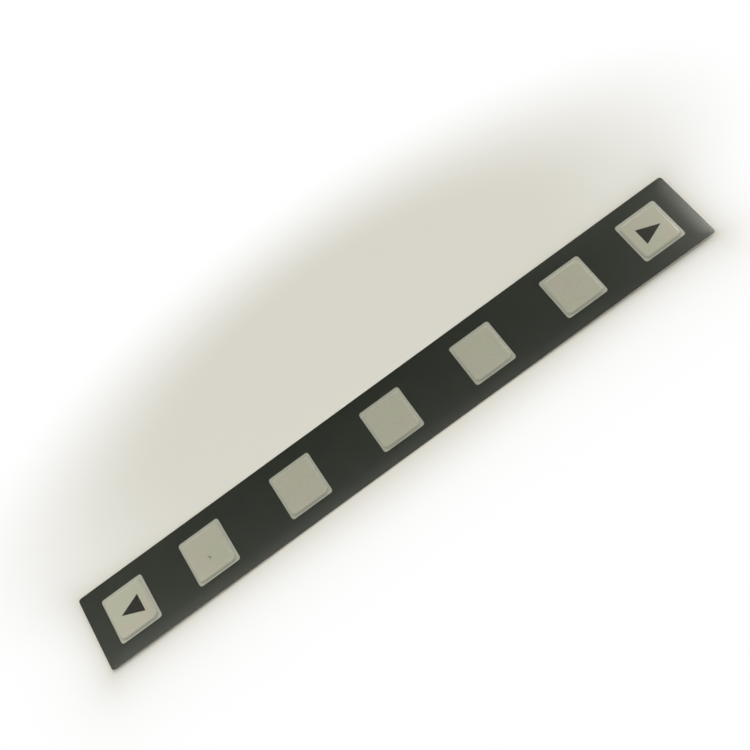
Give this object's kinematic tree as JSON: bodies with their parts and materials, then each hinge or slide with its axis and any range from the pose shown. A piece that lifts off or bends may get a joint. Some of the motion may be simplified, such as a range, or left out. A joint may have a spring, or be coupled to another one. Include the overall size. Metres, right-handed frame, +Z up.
{
  "type": "membrane keypad overlay strip",
  "caption": "Long flat membrane keypad strip: satin black film with raised pale grey square keys, arrow keys at its ends, and adhesive under a paper liner on its back.",
  "frame": {"origin": "centre of the release liner's underside", "axes": "+X along the strip towards the right arrow key, +Y across it, +Z up out of the keys"},
  "size_m": [0.1954, 0.0214, 0.001],
  "materials": {
    "clear_film": "clear polyester film with a fine satin hard coat",
    "black_ink": "black screen ink behind the satin film",
    "grey_ink": "pale warm grey screen ink",
    "adhesive": "clear acrylic transfer adhesive",
    "liner_paper": "smooth off-white coated release paper",
    "red_ink": "red print on the release paper"
  },
  "bodies": {
    "root": {"overlay_film": "clear_film", "black_print": "black_ink", "arrow_print_left": "black_ink", "arrow_print_right": "black_ink", "key_print_1": "grey_ink", "key_print_2": "grey_ink", "key_print_3": "grey_ink", "key_print_4": "grey_ink", "key_print_5": "grey_ink", "key_print_6": "grey_ink", "key_print_7": "grey_ink", "adhesive_sheet": "adhesive", "release_liner": "liner_paper", "liner_print": "red_ink"}
  },
  "joints": []
}
